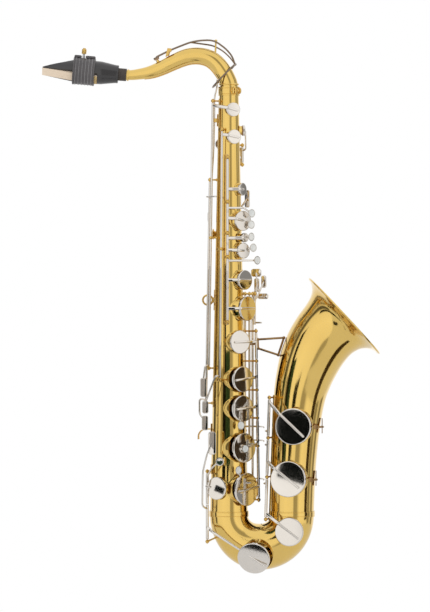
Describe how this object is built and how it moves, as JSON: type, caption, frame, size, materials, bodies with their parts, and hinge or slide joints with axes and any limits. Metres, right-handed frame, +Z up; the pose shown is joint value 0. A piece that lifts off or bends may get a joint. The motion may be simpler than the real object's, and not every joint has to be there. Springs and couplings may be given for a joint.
{
  "type": "tenor saxophone",
  "caption": "Tenor saxophone of lacquered brass with nickel keys, a curved neck, black mouthpiece, turning keywork and a flared bell, held by its strap ring",
  "frame": {"origin": "centre of the strap ring behind the body tube", "axes": "+Z up along the body tube, +X towards the bell, -Y the player's right where the stacks and bell keys are"},
  "size_m": [0.4923, 0.1512, 0.7751],
  "materials": {
    "lacquered_brass": "clear gold lacquer, polished",
    "nickel": "bright nickel plate",
    "raw_brass": "lacquered brass, a little duller",
    "steel": "plain steel",
    "cork": "greased cork",
    "ebonite": "polished hard rubber",
    "cane": "shaved cane",
    "leather": "dark leather band"
  },
  "bodies": {
    "body": {"body_tube": "lacquered_brass", "bow": "lacquered_brass", "bell": "lacquered_brass", "body_bow_ring": "lacquered_brass", "bow_bell_ring": "lacquered_brass", "bell_brace": "raw_brass", "neck_receiver": "lacquered_brass", "strap_ring": "raw_brass", "thumb_hook": "raw_brass", "thumb_rest": "raw_brass", "upper_stack_rib": "raw_brass", "lower_stack_rib": "raw_brass", "side_key_rib": "raw_brass", "palm_key_rib": "raw_brass", "low_key_rib": "raw_brass", "bell_key_rib": "raw_brass", "table_key_rib": "raw_brass", "upper_stack_rod": "steel", "lower_stack_rod": "steel", "low_b_guard": "raw_brass", "low_b_flat_guard": "raw_brass", "octave_bracket": "raw_brass"},
    "neck": {"neck_tube": "lacquered_brass", "neck_cork": "cork", "octave_saddle": "raw_brass"},
    "mouthpiece": {"mouthpiece": "ebonite", "reed": "cane", "ligature": "leather"},
    "a_key": {"a_key": "nickel"},
    "b_key": {"b_key": "nickel"},
    "bis_key": {"bis_key": "nickel"},
    "d_key": {"d_key": "nickel"},
    "e_key": {"e_key": "nickel"},
    "f_key": {"f_key": "nickel"},
    "f_sharp_key": {"f_sharp_key": "nickel"},
    "front_f_key": {"front_f_key": "nickel"},
    "g_key": {"g_key": "nickel"},
    "g_sharp_key": {"g_sharp_key": "nickel"},
    "g_sharp_lever": {"g_sharp_lever": "nickel"},
    "ligature_screw": {"ligature_screw": "raw_brass"},
    "low_b_flat_key": {"low_b_flat_key": "nickel"},
    "low_b_flat_lever": {"low_b_flat_lever": "nickel"},
    "low_b_key": {"low_b_key": "nickel"},
    "low_b_lever": {"low_b_lever": "nickel"},
    "low_c_key": {"low_c_key": "nickel"},
    "low_c_sharp_key": {"low_c_sharp_key": "nickel"},
    "low_c_sharp_lever": {"low_c_sharp_lever": "nickel"},
    "low_e_flat_key": {"low_e_flat_key": "nickel"},
    "low_g_key": {"low_g_key": "nickel"},
    "neck_octave_key": {"neck_octave_key": "nickel"},
    "palm_d_key": {"palm_d_key": "nickel"},
    "palm_e_flat_key": {"palm_e_flat_key": "nickel"},
    "palm_f_key": {"palm_f_key": "nickel"},
    "receiver_screw": {"receiver_screw": "raw_brass"},
    "side_b_flat_key": {"side_b_flat_key": "nickel"},
    "side_b_flat_lever": {"side_b_flat_lever": "nickel"},
    "side_c_key": {"side_c_key": "nickel"},
    "side_e_key": {"side_e_key": "nickel"},
    "thumb_octave_key": {"thumb_octave_key": "nickel"}
  },
  "joints": [
    {"name": "low_g_key_hinge", "type": "hinge", "parent": "body", "child": "low_g_key", "pos_m": [0.0288, -0.02885, -0.029], "axis": [0, 0.0253, 0.9997], "range_deg": [0, 12], "stiffness_Nm_per_rad": 0.03, "springref_deg": -22.92},
    {"name": "g_key_hinge", "type": "hinge", "parent": "body", "child": "g_key", "pos_m": [0.0288, -0.02767, 0.0175], "axis": [0, 0.0253, 0.9997], "range_deg": [0, 9], "stiffness_Nm_per_rad": 0.03, "springref_deg": -22.92},
    {"name": "a_key_hinge", "type": "hinge", "parent": "body", "child": "a_key", "pos_m": [0.0288, -0.02645, 0.0657], "axis": [0, 0.0253, 0.9997], "range_deg": [0, 10], "stiffness_Nm_per_rad": 0.03, "springref_deg": -22.92},
    {"name": "bis_key_hinge", "type": "hinge", "parent": "body", "child": "bis_key", "pos_m": [0.0288, -0.02605, 0.0815], "axis": [0, 0.0253, 0.9997], "range_deg": [0, 10], "stiffness_Nm_per_rad": 0.03, "springref_deg": -22.92},
    {"name": "b_key_hinge", "type": "hinge", "parent": "body", "child": "b_key", "pos_m": [0.0288, -0.02558, 0.1002], "axis": [0, 0.0253, 0.9997], "range_deg": [0, 10], "stiffness_Nm_per_rad": 0.03, "springref_deg": -22.92},
    {"name": "front_f_key_hinge", "type": "hinge", "parent": "body", "child": "front_f_key", "pos_m": [0.0288, -0.02485, 0.129], "axis": [0, 0.0253, 0.9997], "range_deg": [0, 4], "stiffness_Nm_per_rad": 0.03, "springref_deg": -22.92},
    {"name": "side_b_flat_key_hinge", "type": "hinge", "parent": "body", "child": "side_b_flat_key", "pos_m": [0.0288, -0.02443, 0.1457], "axis": [0, -0.0253, -0.9997], "range_deg": [0, 10], "stiffness_Nm_per_rad": 0.03, "springref_deg": -22.92},
    {"name": "g_sharp_key_hinge", "type": "hinge", "parent": "body", "child": "g_sharp_key", "pos_m": [0.07092, 0.00226, -0.0857], "axis": [-0.0167, -0.006, 0.9998], "range_deg": [0, 12], "stiffness_Nm_per_rad": 0.03, "springref_deg": -22.92},
    {"name": "f_sharp_key_hinge", "type": "hinge", "parent": "body", "child": "f_sharp_key", "pos_m": [0.07162, 0.00251, -0.1279], "axis": [0.0167, 0.006, -0.9998], "range_deg": [0, 8], "stiffness_Nm_per_rad": 0.03, "springref_deg": -22.92},
    {"name": "f_key_hinge", "type": "hinge", "parent": "body", "child": "f_key", "pos_m": [0.0723, 0.00275, -0.1687], "axis": [0.0167, 0.006, -0.9998], "range_deg": [0, 8], "stiffness_Nm_per_rad": 0.03, "springref_deg": -22.92},
    {"name": "e_key_hinge", "type": "hinge", "parent": "body", "child": "e_key", "pos_m": [0.07299, 0.00299, -0.2095], "axis": [0.0167, 0.006, -0.9998], "range_deg": [0, 8], "stiffness_Nm_per_rad": 0.03, "springref_deg": -22.92},
    {"name": "d_key_hinge", "type": "hinge", "parent": "body", "child": "d_key", "pos_m": [0.0743, 0.00346, -0.2878], "axis": [0.0167, 0.006, -0.9998], "range_deg": [0, 8], "stiffness_Nm_per_rad": 0.03, "springref_deg": -22.92},
    {"name": "side_e_key_hinge", "type": "hinge", "parent": "body", "child": "side_e_key", "pos_m": [0.00165, -0.01199, -0.0958], "axis": [-0.0149, -0.0039, -0.9999], "range_deg": [0, 10], "stiffness_Nm_per_rad": 0.03, "springref_deg": -28.65},
    {"name": "side_c_key_hinge", "type": "hinge", "parent": "body", "child": "side_c_key", "pos_m": [0.01792, -0.02844, -0.1128], "axis": [-0.008, -0.0192, -0.9998], "range_deg": [0, 10], "stiffness_Nm_per_rad": 0.03, "springref_deg": -28.65},
    {"name": "side_b_flat_lever_hinge", "type": "hinge", "parent": "body", "child": "side_b_flat_lever", "pos_m": [-0.00244, -0.00498, -0.1468], "axis": [0.0178, 0.0062, 0.9998], "range_deg": [0, 8], "stiffness_Nm_per_rad": 0.03, "springref_deg": -28.65},
    {"name": "palm_f_key_hinge", "type": "hinge", "parent": "body", "child": "palm_f_key", "pos_m": [0.05054, 0.01527, 0.201], "axis": [0, 0, 1], "range_deg": [0, 10], "stiffness_Nm_per_rad": 0.03, "springref_deg": -22.92},
    {"name": "palm_e_flat_key_hinge", "type": "hinge", "parent": "body", "child": "palm_e_flat_key", "pos_m": [0.02927, 0.02474, 0.183], "axis": [0, 0, -1], "range_deg": [0, 10], "stiffness_Nm_per_rad": 0.03, "springref_deg": -22.92},
    {"name": "palm_d_key_hinge", "type": "hinge", "parent": "body", "child": "palm_d_key", "pos_m": [0.04187, 0.02229, 0.12], "axis": [0, 0, -1], "range_deg": [0, 10], "stiffness_Nm_per_rad": 0.03, "springref_deg": -22.92},
    {"name": "low_e_flat_key_hinge", "type": "hinge", "parent": "body", "child": "low_e_flat_key", "pos_m": [-0.0006, -0.012, -0.2967], "axis": [0, 0, -1], "range_deg": [0, 12], "stiffness_Nm_per_rad": 0.03, "springref_deg": -22.92},
    {"name": "low_c_key_hinge", "type": "hinge", "parent": "body", "child": "low_c_key", "pos_m": [-0.0006, -0.012, -0.3478], "axis": [0, 0, 1], "range_deg": [0, 10], "stiffness_Nm_per_rad": 0.06, "springref_deg": -28.65},
    {"name": "low_b_flat_key_hinge", "type": "hinge", "parent": "body", "child": "low_b_flat_key", "pos_m": [0.08764, -0.031, -0.1964], "axis": [0.03, 0, 0.9995], "range_deg": [0, 12], "stiffness_Nm_per_rad": 0.06, "springref_deg": -28.65},
    {"name": "low_b_key_hinge", "type": "hinge", "parent": "body", "child": "low_b_key", "pos_m": [0.08594, -0.031, -0.2532], "axis": [0.03, 0, 0.9995], "range_deg": [0, 12], "stiffness_Nm_per_rad": 0.06, "springref_deg": -28.65},
    {"name": "low_c_sharp_key_hinge", "type": "hinge", "parent": "body", "child": "low_c_sharp_key", "pos_m": [0.0841, -0.031, -0.3144], "axis": [-0.03, 0, -0.9995], "range_deg": [0, 12], "stiffness_Nm_per_rad": 0.06, "springref_deg": -28.65},
    {"name": "low_c_sharp_lever_hinge", "type": "hinge", "parent": "body", "child": "low_c_sharp_lever", "pos_m": [0.0656, 0.01688, -0.264], "axis": [0, 0, -1], "range_deg": [0, 4.5], "stiffness_Nm_per_rad": 0.03, "springref_deg": -28.65},
    {"name": "low_b_lever_hinge", "type": "hinge", "parent": "body", "child": "low_b_lever", "pos_m": [0.06092, 0.02423, -0.208], "axis": [0, 0, -1], "range_deg": [0, 4.5], "stiffness_Nm_per_rad": 0.03, "springref_deg": -28.65},
    {"name": "low_b_flat_lever_hinge", "type": "hinge", "parent": "body", "child": "low_b_flat_lever", "pos_m": [0.0547, 0.03034, -0.188], "axis": [0, 0, -1], "range_deg": [0, 4.5], "stiffness_Nm_per_rad": 0.03, "springref_deg": -28.65},
    {"name": "g_sharp_lever_hinge", "type": "hinge", "parent": "body", "child": "g_sharp_lever", "pos_m": [0.06851, 0.00866, -0.036], "axis": [0, 0, -1], "range_deg": [0, 6], "stiffness_Nm_per_rad": 0.03, "springref_deg": -22.92},
    {"name": "thumb_octave_key_hinge", "type": "hinge", "parent": "body", "child": "thumb_octave_key", "pos_m": [0.0098, 0.007, 0.262], "axis": [0, -1, 0], "range_deg": [0, 2.5], "stiffness_Nm_per_rad": 0.03, "springref_deg": -28.65},
    {"name": "neck_swivel", "type": "hinge", "parent": "body", "child": "neck", "pos_m": [0.031, 0, 0.285], "axis": [0, 0, 1], "range_deg": [-25, 25]},
    {"name": "neck_octave_key_hinge", "type": "hinge", "parent": "neck", "child": "neck_octave_key", "pos_m": [-0.055, 0, 0.364], "axis": [0, 1, 0], "range_deg": [0, 2.5], "stiffness_Nm_per_rad": 0.03, "springref_deg": -22.92},
    {"name": "mouthpiece_slide", "type": "slide", "parent": "neck", "child": "mouthpiece", "axis": [-0.9966, 0, 0.0819], "range_m": [-0.004, 0.008]},
    {"name": "ligature_screw_turn", "type": "hinge", "parent": "mouthpiece", "child": "ligature_screw", "pos_m": [-0.18084, 0, 0.35186], "axis": [0.0819, 0, 0.9966], "continuous": true},
    {"name": "receiver_screw_turn", "type": "hinge", "parent": "body", "child": "receiver_screw", "pos_m": [0.03812, -0.01762, 0.304], "axis": [0.9272, 0.3746, 0], "continuous": true}
  ],
  "couplings": [
    {"joint": "low_g_key_hinge", "follows": "g_key_hinge", "ratio": 1.3333},
    {"joint": "f_sharp_key_hinge", "follows": "f_key_hinge", "ratio": 1},
    {"joint": "palm_f_key_hinge", "follows": "front_f_key_hinge", "ratio": 2.5},
    {"joint": "side_b_flat_key_hinge", "follows": "side_b_flat_lever_hinge", "ratio": 1.25},
    {"joint": "low_b_flat_lever_hinge", "follows": "low_b_flat_key_hinge", "ratio": 0.375},
    {"joint": "low_b_lever_hinge", "follows": "low_b_key_hinge", "ratio": 0.375},
    {"joint": "low_c_sharp_lever_hinge", "follows": "low_c_sharp_key_hinge", "ratio": 0.375},
    {"joint": "g_sharp_lever_hinge", "follows": "g_sharp_key_hinge", "ratio": 0.5},
    {"joint": "neck_octave_key_hinge", "follows": "thumb_octave_key_hinge", "ratio": 1}
  ]
}
